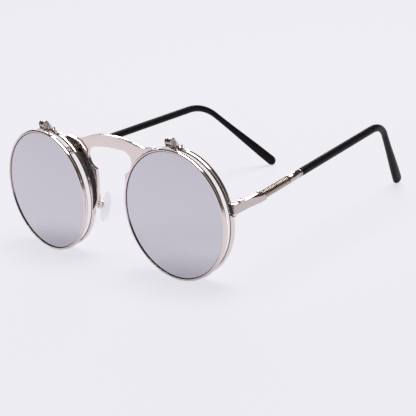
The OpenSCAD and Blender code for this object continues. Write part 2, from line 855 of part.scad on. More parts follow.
module nose_pad(side) {
    rings = 2 * pad_steps + 1;
    color(pad_tint) at_pad(side) difference() {
        union() {
            polyhedron(
                points = flatten([
                    for (i = [-pad_steps:pad_steps])
                        let (f = 75 * i / pad_steps)
                        pad_ring(pad_t / 2 * sin(f) / sin(75), 0.75 + 0.25 * cos(f))
                ]),
                faces = tube_faces(rings, pad_sides)
            );
            block([pad_t / 2 - 0.3, -boss_w / 2, -boss_h / 2], [pad_axis_x, boss_w / 2, boss_h / 2]);
            translate([pad_axis_x, 0, 0]) disc_y(boss_r, -boss_w / 2, boss_w / 2, $fn = 48);
        }
        translate([pad_axis_x, 0, 0]) disc_y(pad_pin_d / 2 + bore_play, -pad_w, pad_w);
    }
}

// Wire from the back of the rear rim round to the box that carries the pad
arm_start = rim_point(-(rear_r - rear_wall / 2), rear_front + rear_depth + braze, 0.4);
arm_end = pad_point([box_out - 0.15, 0, 0]);
arm_line = spline([
    arm_start,
    arm_start + [0.25, 1.5, -0.05],
    arm_start + [0.8, 2.7, -1.8],
    arm_start + [0.9, 1.9, -3.7],
    pad_point([box_out + 0.75, -0.1, 0.1]),
    arm_end
], 4);

module pad_arm(side) {
    sides = 8;
    rings = len(arm_line);
    box_h = boss_h + 0.4;
    color(silver) {
        in_place() on_side(side) polyhedron(
            points = flatten([for (i = [0:rings - 1]) wire_ring(arm_line, i, arm_d / 2, sides, [1, 0, 0.3])]),
            faces = tube_faces(rings, sides)
        );
        at_pad(side) difference() {
            block([box_in, -boss_w / 2 - side_play - box_wall, -box_h / 2],
                  [box_out, boss_w / 2 + side_play + box_wall, box_h / 2]);
            block([box_in - cut, -boss_w / 2 - side_play, -box_h],
                  [box_out - box_wall, boss_w / 2 + side_play, box_h]);
            translate([pad_axis_x, 0, 0]) disc_y(pad_pin_d / 2 + head_play, -pad_w, pad_w, $fn = 48);
        }
    }
}

module pad_screw(side) {
    half = boss_w / 2 + side_play + box_wall;
    color(dark_silver) at_pad(side) translate([pad_axis_x, 0, 0]) {
        disc_y(pad_pin_d / 2, -half, half + head_play + 0.1, $fn = 48);
        disc_y(pad_pin_d / 2 + 0.25, half + head_play, half + head_play + 0.3, $fn = 48);
    }
}

rear_rim(left);  // rear_rim_left
rear_rim(right);  // rear_rim_right
rear_lens(left);  // rear_lens_left
rear_lens(right);  // rear_lens_right
bridge_plate();
end_piece(left);  // end_piece_left
end_piece(right);  // end_piece_right
rim_lock_screw(left);  // rim_lock_screw_left
rim_lock_screw(right);  // rim_lock_screw_right
flip_hinge_base(left);  // flip_hinge_base_left
flip_hinge_base(right);  // flip_hinge_base_right
flip_hinge_screw(left);  // flip_hinge_screw_left
flip_hinge_screw(right);  // flip_hinge_screw_right
stop_peg(left);  // stop_peg_left
stop_peg(right);  // stop_peg_right
pad_arm(left);  // pad_arm_left
pad_arm(right);  // pad_arm_right
pad_screw(left);  // pad_screw_left
pad_screw(right);  // pad_screw_right
nose_pad(left);  // nose_pad_left
nose_pad(right);  // nose_pad_right
flip_rim(left);  // flip_rim_left
flip_rim(right);  // flip_rim_right
mirror_lens(left);  // mirror_lens_left
mirror_lens(right);  // mirror_lens_right
flip_tab(left);  // flip_tab_left
flip_tab(right);  // flip_tab_right
temple_screw(left);  // temple_screw_left
temple_screw(right);  // temple_screw_right
temple_blade(left);  // temple_blade_left
temple_blade(right);  // temple_blade_right
temple_core(left);  // temple_core_left
temple_core(right);  // temple_core_right
temple_spring(left);  // temple_spring_left
temple_spring(right);  // temple_spring_right
temple_ferrule(left);  // temple_ferrule_left
temple_ferrule(right);  // temple_ferrule_right
temple_sleeve(left);  // temple_sleeve_left
temple_sleeve(right);  // temple_sleeve_right
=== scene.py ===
import json
import math

import bmesh
import bpy
from mathutils import Matrix, Vector

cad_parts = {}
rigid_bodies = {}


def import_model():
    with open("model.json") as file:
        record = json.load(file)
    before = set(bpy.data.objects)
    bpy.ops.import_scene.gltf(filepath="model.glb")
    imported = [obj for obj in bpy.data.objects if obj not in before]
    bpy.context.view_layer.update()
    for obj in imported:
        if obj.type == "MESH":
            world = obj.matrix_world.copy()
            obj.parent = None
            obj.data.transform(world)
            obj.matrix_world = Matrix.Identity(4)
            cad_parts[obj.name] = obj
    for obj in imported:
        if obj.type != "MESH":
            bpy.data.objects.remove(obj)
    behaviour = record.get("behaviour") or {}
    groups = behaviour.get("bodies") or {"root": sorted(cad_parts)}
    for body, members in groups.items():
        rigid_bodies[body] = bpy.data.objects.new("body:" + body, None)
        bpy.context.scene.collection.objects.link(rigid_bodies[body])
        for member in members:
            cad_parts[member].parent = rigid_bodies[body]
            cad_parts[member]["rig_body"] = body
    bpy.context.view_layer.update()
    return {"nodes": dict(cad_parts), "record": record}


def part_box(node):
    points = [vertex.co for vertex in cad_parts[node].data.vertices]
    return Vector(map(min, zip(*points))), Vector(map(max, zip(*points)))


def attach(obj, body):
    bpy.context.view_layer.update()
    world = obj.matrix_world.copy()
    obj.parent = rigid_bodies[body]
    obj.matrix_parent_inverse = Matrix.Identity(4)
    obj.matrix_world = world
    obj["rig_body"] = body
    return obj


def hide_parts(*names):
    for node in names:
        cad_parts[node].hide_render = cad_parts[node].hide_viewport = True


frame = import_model()

# Sizes in millimetres and degrees, as in the CAD source. Y counts back from the front of the flip rims.
MM = 0.001

# Rims and lenses: their centres, the turn of each side towards the temples, radii, walls and depths
EYE_X, EYE_Z = 36.5, 24.9
WRAP = 2.0
FLIP_R, FLIP_WALL, FLIP_DEPTH = 24.9, 0.9, 1.8
REAR_R, REAR_WALL, REAR_DEPTH, REAR_FRONT = 24.4, 0.85, 2.15, 4.25
ROUND_OFF = 0.25
FLIP_RECESS, FLIP_LENS_T = 0.5, 0.7
REAR_RECESS, REAR_LENS_T = 0.6, 1.0
LENS_CURVE = 265.0

# Temples: the hinge, the directions, and the blade, spring, ferrule and sleeve along them
HINGE = Vector((62.1217, 10.636, 29.65))
YAW, RISE, TURN = 6.5, 3.4, 20.5
BLADE_LEN, REACH, TEMPLE_LEN = 9.5, 97.3, 145.0
SEAT, SPRING_D, SPRING_WIRE, SPRING_GAP, SPRING_TURNS = 0.9, 3.2, 0.5, 0.42, 18
FERRULE_LEN, COLLAR_LEN = 8.1, 0.7
SLEEVE_D, NECK_D, TIP_H, TIP_T, BEND_R = 3.1, 2.6, 4.5, 3.3, 17.0
CORE_D = 1.4

# End pieces, blades and their hinges, and the lug and slit of the rear rim
END_UP, END_BLOCK_H, END_CORNER_R, END_REACH, SIDE_PLATE_LEN, END_FORWARD = 4.75, 3.4, 1.0, 1.95, 4.75, 0.25
BLADE_H, BLADE_T, BLADE_OUT, RAISE, RAISE_LEN, BUTT = 3.2, 1.2, 1.0, 0.8, 2.8, 0.06
AXIS_IN, KNUCKLE_R, KNUCKLE_HALF = -1.1, 1.1, 0.55
CORNER_Y = REAR_FRONT - END_FORWARD + END_CORNER_R
SLIT = 0.1
LOCK_Z, LOCK_H, LOCK_HALF = END_UP - END_BLOCK_H / 2 - SLIT, 0.9, 0.75
LOCK_X = REAR_R + 0.03 + LOCK_HALF
TEMPLE_HEAD_R, TEMPLE_HEAD_T, TEMPLE_PIN_R = 0.85, 0.35, 0.45

# Bridge plate
BRIDGE_T, BRIDGE_SET, BRIDGE_LEAN, BRIDGE_CROWN, BRIDGE_BAND, NOSE_TIP = 1.2, 0.95, 2.5, 1.0, 4.7, 4.0

# Flip hinges and the pegs that the flip rims close against
NOSE_SHIFT, SCREW_SHIFT, FLIP_AXIS_BACK, FLIP_AXIS_UP = 0.65, 1.15, 2.5, 2.1
BARREL_R, BARREL_LEN, EAR_W, PIN_R, PIN_HEAD_R, PIN_HEAD_T, SLOT_W = 1.55, 2.8, 0.7, 0.45, 1.0, 0.3, 0.28
PEG_ANGLE, PEG_R, PEG_TIP = 52, 0.45, 1.85

# Where the flip rims start in the CAD source, and from it where the shared frame's zero lies there
FRONT_Y = -(FLIP_R - ROUND_OFF) * math.sin(math.radians(WRAP))
MID_Y = FRONT_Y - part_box("flip_rim_left")[0].y / MM

LEFT, RIGHT = 1, -1
SIDES = (("left", LEFT), ("right", RIGHT))


def rad(degrees):
    return math.radians(degrees)


def placed(matrix):
    """Moves from the CAD source's zero, the front of the flip rims, to the shared frame's."""
    return Matrix.Translation((0, -MID_Y, 0)) @ matrix


def at_rim(side):
    """The frame of one eye: its middle, turned with the wrap."""
    return placed(Matrix.Translation((side * EYE_X, 0, EYE_Z)) @ Matrix.Rotation(rad(side * WRAP), 4, "Z"))


def on_side(side):
    """Mirrors what is modelled for the wearer's left onto the right."""
    return Matrix.Identity(4) if side == LEFT else Matrix.Scale(-1, 4, (1, 0, 0))


def at_temple(side):
    """The frame of one temple: x outwards, y backwards from the hinge, z above its centreline."""
    return placed(on_side(side) @ Matrix.Translation(HINGE) @ Matrix.Rotation(rad(YAW), 4, "Z"))


def at_wire(side):
    """The temple's frame moved to the end of the blade, with y along the wire."""
    return at_temple(side) @ Matrix.Translation((0, BLADE_LEN, 0)) @ Matrix.Rotation(rad(RISE), 4, "X")


# Materials


def material(name, colour, metallic=0.0, roughness=0.4, **sockets):
    """A Principled material. Further sockets go by their names, with _ for a space."""
    m = bpy.data.materials.new(name)
    m.use_nodes = True
    shader = m.node_tree.nodes["Principled BSDF"]
    shader.inputs["Base Color"].default_value = (*colour, 1.0)
    shader.inputs["Metallic"].default_value = metallic
    shader.inputs["Roughness"].default_value = roughness
    for socket, value in sockets.items():
        shader.inputs[socket.replace("_", " ")].default_value = value
    return m


def add_noise(m, socket, low, high, scale, detail=3.0):
    """Feeds a socket with fine noise between low and high, as on a hand-polished surface."""
    nodes, links = m.node_tree.nodes, m.node_tree.links
    place = nodes.new("ShaderNodeTexCoord")
    noise = nodes.new("ShaderNodeTexNoise")
    noise.inputs["Scale"].default_value = scale
    noise.inputs["Detail"].default_value = detail
    spread = nodes.new("ShaderNodeMapRange")
    spread.inputs["From Min"].default_value = 0.3
    spread.inputs["From Max"].default_value = 0.7
    spread.inputs["To Min"].default_value = low
    spread.inputs["To Max"].default_value = high
    links.new(place.outputs["Object"], noise.inputs["Vector"])
    links.new(noise.outputs["Fac"], spread.inputs["Value"])
    links.new(spread.outputs["Result"], nodes["Principled BSDF"].inputs[socket])
    return m


POLISHED = add_noise(material("polished_metal", (0.8, 0.715, 0.69), 1.0, 0.1), "Roughness", 0.08, 0.15, 180)
SATIN = add_noise(material("satin_metal", (0.6, 0.53, 0.52), 1.0, 0.16), "Roughness", 0.12, 0.24, 420)
SCREW = add_noise(material("screw_metal", (0.4, 0.355, 0.34), 1.0, 0.25), "Roughness", 0.2, 0.34, 900)
SPRING = add_noise(material("spring_wire", (0.58, 0.505, 0.46), 1.0, 0.16), "Roughness", 0.1, 0.18, 700)
MIRROR = add_noise(material("mirror_coat", (0.64, 0.63, 0.69), 1.0, 0.04), "Roughness", 0.03, 0.06, 60)
# Dark glossy tint: the real tinted back and edge of the mirror lenses, and also painted shade on a thin ring
# of each mirror lens's front just inside the flip rim
BACK_TINT_AND_RIM_SHADE = material("tinted_back_and_painted_rim_shade", (0.035, 0.033, 0.036), 1.0, 0.04)
CLEAR = material("clear_lens", (1, 1, 1), 0.0, 0.0, Transmission_Weight=1.0, IOR=1.4)
SLEEVE = add_noise(
    material("black_sleeve", (0.009, 0.007, 0.0105), 0.0, 0.4, Specular_IOR_Level=0.1),
    "Roughness", 0.34, 0.46, 240,
)
PAD = material("clear_pad", (0.84, 0.83, 0.87), 0.0, 0.12, IOR=1.4, Alpha=0.16)
SLOT_LOOKS = {
    "polished_metal": POLISHED, "screw_metal": SCREW, "spring_steel": SPRING,
    "mirror_lens": MIRROR, "clear_lens": CLEAR, "black_sleeve": SLEEVE, "clear_pad": PAD,
}
SLOT_OF = {p["node"]: p["material_slot"] for p in frame["record"]["subparts"]}


# Mesh helpers. Points are in millimetres in a local frame that `matrix` places.


def add_mesh(name, points, faces, matrix, look, smooth_angle=35.0):
    mesh = bpy.data.meshes.new(name)
    mesh.from_pydata([tuple((matrix @ Vector(p)) * MM) for p in points], [], faces)
    if matrix.determinant() < 0:
        mesh.flip_normals()
    mesh.materials.append(look)
    mesh.validate()
    mesh.shade_smooth()
    mesh.set_sharp_from_angle(angle=rad(smooth_angle))
    obj = bpy.data.objects.new(name, mesh)
    bpy.context.scene.collection.objects.link(obj)
    return obj


def stand_for(obj, node):
    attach(obj, frame["nodes"][node]["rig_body"])
    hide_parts(node)
    return obj


def tube(rings, closed_path=False, caps=True):
    """Faces that join rings of equal length, listed along the direction about which they turn."""
    count, sides = len(rings), len(rings[0])
    points = [p for ring in rings for p in ring]
    faces = []
    for i in range(count if closed_path else count - 1):
        j = (i + 1) % count
        for k in range(sides):
            n = (k + 1) % sides
            faces.append((i * sides + k, i * sides + n, j * sides + n, j * sides + k))
    if caps and not closed_path:
        faces.append(tuple(reversed(range(sides))))
        faces.append(tuple((count - 1) * sides + k for k in range(sides)))
    return points, faces


def lathe(name, profile, matrix, look, steps=288, start=0.0, end=360.0, smooth_angle=35.0):
    """Turns a closed [radius, y] profile, listed clockwise, about the local Y axis."""
    whole = end - start >= 360
    turns = steps if whole else steps + 1
    rings = []
    for i in range(turns):
        a = rad(start + (end - start) * i / steps)
        rings.append([(r * math.cos(a), y, r * math.sin(a)) for r, y in profile])
    points, faces = tube(rings, closed_path=whole)
    return add_mesh(name, points, faces, matrix, look, smooth_angle)


def sweep(path, radii, sides, up):
    """Rings of a tube along path. radii holds (across, along `up`) for each point."""
    rings = []
    last = len(path) - 1
    for i, p in enumerate(path):
        d = (path[min(i + 1, last)] - path[max(i - 1, 0)]).normalized()
        side = d.cross(up).normalized()
        top = side.cross(d)
        a, b = radii[i]
        rings.append([
            p + side * a * math.cos(2 * math.pi * k / sides) + top * b * math.sin(2 * math.pi * k / sides)
            for k in range(sides)
        ])
    return rings


def round_edges(mesh, edges, offset, segments):
    bmesh.ops.bevel(
        mesh, geom=edges, offset=offset, segments=segments, profile=0.5, affect="EDGES", clamp_overlap=True
    )


def prism(name, outline, axis, low, high, matrix, look, bevel=0.0, segments=3):
    """Pulls an outline along an axis and rounds its edges: (y, z) along X, (x, z) along Y, (x, y) along Z."""
    lift = {
        "X": lambda p, t: Vector((t, p[0], p[1])),
        "Y": lambda p, t: Vector((p[0], t, p[1])),
        "Z": lambda p, t: Vector((p[0], p[1], t)),
    }[axis]
    mesh = bmesh.new()
    ends = []
    for t in (low, high):
        ends.append([mesh.verts.new(lift(p, t)) for p in outline])
    count = len(outline)
    mesh.faces.new(ends[0])
    mesh.faces.new(ends[1][::-1])
    for i in range(count):
        j = (i + 1) % count
        mesh.faces.new((ends[0][j], ends[0][i], ends[1][i], ends[1][j]))
    bmesh.ops.recalc_face_normals(mesh, faces=mesh.faces)
    if bevel:
        edges = [e for e in mesh.edges if e.calc_face_angle(0) > rad(25)]
        round_edges(mesh, edges, bevel, segments)
    return from_bmesh(name, mesh, matrix, look)


def from_bmesh(name, mesh, matrix, look, smooth_angle=40.0):
    mesh.transform(Matrix.Scale(MM, 4) @ matrix)
    bmesh.ops.recalc_face_normals(mesh, faces=mesh.faces)
    data = bpy.data.meshes.new(name)
    mesh.to_mesh(data)
    mesh.free()
    data.materials.append(look)
    data.shade_smooth()
    data.set_sharp_from_angle(angle=rad(smooth_angle))
    obj = bpy.data.objects.new(name, data)
    bpy.context.scene.collection.objects.link(obj)
    return obj


def join(first, *others):
    with bpy.context.temp_override(active_object=first, selected_editable_objects=[first, *others]):
        bpy.ops.object.join()
    return first


def arc(centre, r, start, end, steps=12):
    """Points of an arc about a 2-D centre, both ends included."""
    return [
        (centre[0] + r * math.cos(rad(start + (end - start) * i / steps)),
         centre[1] + r * math.sin(rad(start + (end - start) * i / steps)))
        for i in range(steps + 1)
    ]


def rod(name, r, axis, low, high, matrix, look, bevel=0.05, centre=(0, 0), sides=64):
    outline = arc(centre, r, 0, 360 - 360 / sides, sides - 1)
    return prism(name, outline, axis, low, high, matrix, look, bevel, segments=2)


# Rims and lenses


def rim_profile(outer, wall, depth, front, recess, lens_t):
    """A section of drawn rim wire: lips in front and behind, a groove for the lens and a rounded outside."""
    inner = outer - wall
    groove = inner + 0.45
    back = front + depth
    lip, soft = 0.12, 0.09
    crown = []
    for i in range(-8, 9):
        q = i / 8
        r = outer - ROUND_OFF * q * q - (lip if abs(i) == 8 else 0) * 0.5
        crown.append((r, front + depth * (1 + q * 0.94) / 2))
    return [
        (inner, front + soft), (inner + soft * 0.3, front + soft * 0.3), (inner + soft, front),
        (outer - ROUND_OFF - lip, front), *crown, (outer - ROUND_OFF - lip, back),
        (inner + soft, back), (inner + soft * 0.3, back - soft * 0.3), (inner, back - soft),
        (inner, front + recess + lens_t + 0.05), (groove, front + recess + lens_t + 0.05),
        (groove, front + recess - 0.05), (inner, front + recess - 0.05),
    ]


def flip_rim(word, side):
    node = "flip_rim_" + word
    profile = rim_profile(FLIP_R, FLIP_WALL, FLIP_DEPTH, 0, FLIP_RECESS, FLIP_LENS_T)
    stand_for(lathe(node + "_turned", profile, at_rim(side), POLISHED, smooth_angle=50), node)


def rear_rim(word, side):
    """The rim is open at the slit beside its closing screw, and carries the lug that the screw pulls up."""
    node = "rear_rim_" + word
    profile = rim_profile(REAR_R, REAR_WALL, REAR_DEPTH, REAR_FRONT, REAR_RECESS, REAR_LENS_T)
    middle = REAR_R - REAR_WALL / 2
    start, end = (math.degrees(math.asin((LOCK_Z + up) / middle)) for up in (SLIT, 0))
    place = at_rim(side) @ on_side(side)
    ring = lathe(node + "_turned", profile, place, POLISHED, start=start, end=360 + end, smooth_angle=50)
    far, front, back = LOCK_X + LOCK_HALF, CORNER_Y - 0.8, CORNER_Y + 0.8
    lug = prism(
        node + "_lug", [(middle, front), (far, front), (far, back), (middle, back)],
        "Z", LOCK_Z - LOCK_H, LOCK_Z, place, POLISHED, 0.12,
    )
    stand_for(join(ring, lug), node)


def lens(node, side, outer, wall, front, recess, thickness, look, behind=None):
    """A lens cut from two spheres. Where `behind` is given, that look goes on the lens's back and edge, which
    are its own dark tint. It also goes on a 0.3 mm ring of its front just inside the rim, which is painted
    shade for the shadowed inner wall of the rim.
    """
    edge = outer - wall + 0.4
    centre = front + recess + math.sqrt(LENS_CURVE ** 2 - edge ** 2)
    # The mirror look stops 0.3 mm inside the rim; the ring of the front beyond it is painted shade
    mirror_radius = outer - wall - 0.3
    mirror_rings = 24
    radii = [mirror_radius * i / mirror_rings for i in range(1, mirror_rings + 1)] + [mirror_radius + 0.15, outer - wall, edge]
    rings_across, sides = len(radii), 192
    points, faces = [], []
    for curve in (LENS_CURVE, LENS_CURVE - thickness):
        first = len(points)
        points.append((0, centre - curve, 0))
        for r in radii:
            y = centre - math.sqrt(curve ** 2 - r ** 2)
            for k in range(sides):
                a = 2 * math.pi * k / sides
                points.append((r * math.cos(a), y, r * math.sin(a)))
        front_face = curve == LENS_CURVE
        for k in range(sides):
            n = (k + 1) % sides
            tri = (first, first + 1 + k, first + 1 + n)
            faces.append(tri if front_face else tri[::-1])
            for i in range(rings_across - 1):
                a, b = first + 1 + i * sides, first + 1 + (i + 1) * sides
                quad = (a + k, b + k, b + n, a + n)
                faces.append(quad if front_face else quad[::-1])
    per_face = 1 + rings_across * sides
    a, b = 1 + (rings_across - 1) * sides, per_face + 1 + (rings_across - 1) * sides
    for k in range(sides):
        n = (k + 1) % sides
        faces.append((a + k, b + k, b + n, a + n))
    obj = add_mesh(node + "_domed", points, faces, at_rim(side), look, 40)
    if behind:
        obj.data.materials.append(behind)
        # Faces beyond the mirror radius take the dark look: painted shade on the front ring inside the rim,
        # the lens's real tint on its edge and back
        painted_shade_from = 1 + mirror_rings * sides
        for face in obj.data.polygons:
            if max(face.vertices) >= painted_shade_from:
                face.material_index = 1
    return stand_for(obj, node)


for word, side in SIDES:
    flip_rim(word, side)
    rear_rim(word, side)
    lens("mirror_lens_" + word, side, FLIP_R, FLIP_WALL, 0, FLIP_RECESS, FLIP_LENS_T, MIRROR, BACK_TINT_AND_RIM_SHADE)
    lens("rear_lens_" + word, side, REAR_R, REAR_WALL, REAR_FRONT, REAR_RECESS, REAR_LENS_T, CLEAR)


# Temples


def temple_line():
    """The centreline of spring, ferrule and sleeve in the temple's frame, as the CAD source derives it."""
    along = Vector((0, math.cos(rad(RISE)), math.sin(rad(RISE))))
    start = Vector((0, BLADE_LEN, 0))
    corner = start + along * (REACH - BLADE_LEN) / math.cos(rad(RISE))
    cap = TIP_H / 2
    drop_len = TEMPLE_LEN - REACH - cap
    drop = math.asin((HINGE.z + corner.z - cap) / drop_len)
    turn = rad(TURN)
    down = Vector((-math.cos(drop) * math.sin(turn), math.cos(drop) * math.cos(turn), -math.sin(drop)))
    bend = along.angle(down)
    reach = BEND_R * math.tan(bend / 2)
    out = along.cross(down).normalized()
    centre = corner - along * reach + out.cross(along) * BEND_R
    return along, start, corner, down, drop_len, bend, reach, out, centre, cap


ALONG, WIRE_START, CORNER, DOWN, DROP_LEN, BEND, BEND_REACH, OUT, BEND_CENTRE, CAP = temple_line()
STRAIGHT_LEN = (CORNER - ALONG * BEND_REACH - WIRE_START).length
FALL_LEN = DROP_LEN - BEND_REACH
FALL_START = CORNER + DOWN * BEND_REACH
SPRING_LEN = SPRING_TURNS * (SPRING_WIRE + SPRING_GAP) + 2 * SPRING_WIRE
FERRULE_AT = SEAT + SPRING_LEN
SLEEVE_AT = FERRULE_AT + FERRULE_LEN


def wire_points(start, end_share, radius, neck, end_radii):
    """Stations of [centre, direction, half height, half thickness] from `start` to a share of the fall."""
    stations = []
    steps = 24
    for i in range(steps):
        s = start + (STRAIGHT_LEN - start) * i / steps
        stations.append((WIRE_START + ALONG * s, ALONG, radius, radius))
    inward = OUT.cross(ALONG)
    for i in range(33):
        a = BEND * i / 32
        p = BEND_CENTRE + (ALONG * math.sin(a) - inward * math.cos(a)) * BEND_R
        r = radius + (neck - radius) * i / 32
        stations.append((p, ALONG * math.cos(a) + inward * math.sin(a), r, r))
    for i in range(1, 33):
        q = end_share * i / 32
        ease = q * q * (3 - 2 * q)
        a = neck + (end_radii[0] - neck) * ease
        b = neck + (end_radii[1] - neck) * ease
        stations.append((FALL_START + DOWN * FALL_LEN * q, DOWN, a, b))
    return stations


def station_ring(station, sides):
    p, d, a, b = station
    top = OUT.cross(d)
    return [
        p + top * a * math.cos(2 * math.pi * k / sides) + OUT * b * math.sin(2 * math.pi * k / sides)
        for k in range(sides)
    ]


def sleeve(word, side):
    """Its rings run from the bottom of the bore to the mouth, round the lip and along the outside."""
    r, soft = SLEEVE_D / 2, 0.22
    outer = wire_points(SLEEVE_AT, 1.0, r, NECK_D / 2, (CAP, TIP_T / 2))
    p, d, _, _ = outer[0]
    lip = []
    for turn in (0, 30, 60):
        lip_r = r - soft * (1 - math.sin(rad(turn)))
        lip.append((p + d * (soft * (1 - math.cos(rad(turn)))), d, lip_r, lip_r))
    cap = []
    for i in range(1, 13):
        f = rad(88 * i / 12)
        centre = FALL_START + DOWN * (FALL_LEN + CAP * math.sin(f))
        cap.append((centre, DOWN, CAP * math.cos(f), TIP_T / 2 * math.cos(f)))
    bore, bore_len = CORE_D / 2 + 0.06, 6
    inside = [(p + d * bore_len, d, bore, bore), (p, d, bore, bore)]
    points, faces = tube([station_ring(s, 48) for s in inside + lip + outer[1:] + cap])
    obj = add_mesh("sleeve_" + word + "_smooth", points, faces, at_temple(side), SLEEVE, 60)
    stand_for(obj, "temple_sleeve_" + word)


def core(word, side):
    r = CORE_D / 2
    stations = wire_points(-0.2, 0.7, r, r, (r, r))
    points, faces = tube([station_ring(s, 24) for s in stations])
    obj = add_mesh("core_wire_" + word, points, faces, at_temple(side), SPRING, 50)
    stand_for(obj, "temple_core_" + word)


def spring(word, side):
    """One round wire wound about the core, each end bent along the wire line."""
    mid = (SPRING_D - SPRING_WIRE) / 2
    pitch = SPRING_WIRE + SPRING_GAP
    steps, sides = 32, 16
    path = [Vector((mid, SEAT, 0))]
    for i in range(SPRING_TURNS * steps + 1):
        a = 2 * math.pi * i / steps
        path.append(Vector((mid * math.cos(a), SEAT + SPRING_WIRE + pitch * i / steps, mid * math.sin(a))))
    path.append(Vector((mid, SEAT + SPRING_LEN, 0)))
    rings = []
    last = len(path) - 1
    for i, p in enumerate(path):
        d = (path[min(i + 1, last)] - path[max(i - 1, 0)]).normalized()
        radial = Vector((p.x, 0, p.z)).normalized()
        n = (radial - d * radial.dot(d)).normalized()
        b = d.cross(n)
        stretch = math.sqrt(2) if i in (1, last - 1) else 1
        around = (2 * math.pi * k / sides for k in range(sides))
        rings.append([p + (n * math.cos(a) + b * stretch * math.sin(a)) * SPRING_WIRE / 2 for a in around])
    points, faces = tube(rings)
    obj = add_mesh("spring_" + word + "_fine", points, faces, at_wire(side), SPRING, 70)
    stand_for(obj, "temple_spring_" + word)


def loft(name, sections, matrix, look, smooth_angle=30.0):
    """Joins closed sections of equal length, listed from the front."""
    points, faces = tube(sections)
    return add_mesh(name, points, faces, matrix, look, smooth_angle)


def box_section(y, x0, x1, z0, z1, soft, count=64):
    """A rounded rectangle at y, its points spread so that they match those of a circle."""
    ring = []
    cx, cz, hx, hz = (x0 + x1) / 2, (z0 + z1) / 2, (x1 - x0) / 2 - soft, (z1 - z0) / 2 - soft
    for k in range(count):
        a = 2 * math.pi * (k + 0.5) / count
        ring.append(Vector((
            cx + math.copysign(hx, math.cos(a)) + soft * math.cos(a), y,
            cz + math.copysign(hz, math.sin(a)) + soft * math.sin(a),
        )))
    return ring[::-1]


def cup_section(y, r, slant, flatness=0.0, count=64):
    """A ring about the wire line, leaning forward at the top by `slant`; `flatness` squares it off."""
    ring = []
    rise = rad(RISE)
    for k in range(count):
        a = 2 * math.pi * (k + 0.5) / count
        across, up = (
            math.copysign(abs(part) ** (1 - flatness), part) * r for part in (math.cos(a), math.sin(a))
        )
        v = y - slant * up
        ring.append(Vector((
            across,
            BLADE_LEN + v * math.cos(rise) - up * math.sin(rise),
            v * math.sin(rise) + up * math.cos(rise),
        )))
    return ring[::-1]


def blade(word, side):
    """A flat strip that swells into the spring's cup, with an ear on top and the middle hinge knuckle."""
    name = "blade_" + word
    place = at_temple(side)
    inside, half = BLADE_OUT - BLADE_T, BLADE_H / 2
    cup, bore = SPRING_D / 2 + 0.3, SPRING_D / 2 + 0.03
    mouth, slant = 1.5, 0.42
    sections = [
        box_section(BUTT, inside + 0.08, BLADE_OUT - 0.08, -half + 0.08, half - 0.08, 0.05),
        box_section(BUTT + 0.08, inside, BLADE_OUT, -half, half, 0.12),
        box_section(3.0, inside, BLADE_OUT, -half, half, 0.12),
        cup_section(-0.6, cup - 0.06, 0, 0.3), cup_section(0.7, cup, 0, 0.26),
        cup_section(mouth, cup, slant, 0.24), cup_section(mouth + 0.1, cup - 0.07, slant, 0.24),
        cup_section(mouth + 0.05, bore, slant), cup_section(SEAT, bore, 0),
        cup_section(SEAT, CORE_D / 2 + 0.05, 0),
    ]
    body = loft(name, sections, place, SATIN, 24)
    ear = prism(name + "_ear", [
        (BLADE_LEN - 1.3, 1.55), (BLADE_LEN - 0.55, 2.25), (BLADE_LEN + 0.35, 2.3), (BLADE_LEN + 0.75, 1.7),
    ], "X", -0.55, 0.55, place, SATIN, 0.22)
    top = KNUCKLE_HALF - 0.06
    knuckle = rod(name + "_knuckle", KNUCKLE_R, "Z", -top, top, place, SATIN, centre=(AXIS_IN, 0))
    arm = prism(name + "_arm", [
        (AXIS_IN, 0.02), (inside + 0.3, 0.02), (inside + 0.3, KNUCKLE_R * 1.5),
        (AXIS_IN + 0.4, KNUCKLE_R * 1.5), (AXIS_IN, KNUCKLE_R),
    ], "Z", -top, top, place, SATIN, 0.05)
    stand_for(join(body, ear, knuckle, arm), "temple_blade_" + word)


def plan_of_corner():
    """Outline, seen from above in the rim's frame, of the block that leaves the rim and turns its corner."""
    x, start = REAR_R + END_REACH, REAR_R - 0.3
    front, back = CORNER_Y - END_CORNER_R, CORNER_Y + END_CORNER_R
    return [(start, back), (start, front), *arc((x, CORNER_Y), END_CORNER_R, -90, 40, 16), (x + 0.3, back)]


def end_piece(word, side):
    """The block on the rim with its corner, the side plate, the raised block and two hinge knuckles."""
    name = "end_" + word
    place = at_temple(side)
    inside, outside, proud = BLADE_OUT - BLADE_T, BLADE_OUT + 0.005, BLADE_OUT + 0.03
    half, half_block = BLADE_H / 2, END_BLOCK_H / 2
    low, high = END_UP - half_block, END_UP + half_block
    block = prism(name, plan_of_corner(), "Z", low, high, at_rim(side) @ on_side(side), SATIN, 0.13)
    plate = prism(name + "_plate", [
        (inside, -SIDE_PLATE_LEN), (outside, -SIDE_PLATE_LEN), (outside, -BUTT), (inside, -BUTT),
    ], "Z", -half, half, place, SATIN, 0.09)
    raised = prism(name + "_raised", [
        (inside, -BUTT - RAISE_LEN), (proud, -BUTT - RAISE_LEN), (proud, -BUTT), (inside, -BUTT),
    ], "Z", -half, half + RAISE, place, SATIN, 0.1)
    pieces = [block, plate, raised]
    for z0, z1 in ((-half, -KNUCKLE_HALF), (KNUCKLE_HALF, half)):
        pieces.append(rod(name + "_knuckle", KNUCKLE_R, "Z", z0, z1, place, SATIN, centre=(AXIS_IN, 0)))
        pieces.append(prism(name + "_arm", [
            (AXIS_IN, -0.02), (AXIS_IN, -KNUCKLE_R), (AXIS_IN + 0.4, -KNUCKLE_R * 1.5),
            (inside + 0.3, -KNUCKLE_R * 1.5), (inside + 0.3, -0.02),
        ], "Z", z0, z1, place, SATIN, 0.05))
    stand_for(join(*pieces), "end_piece_" + word)


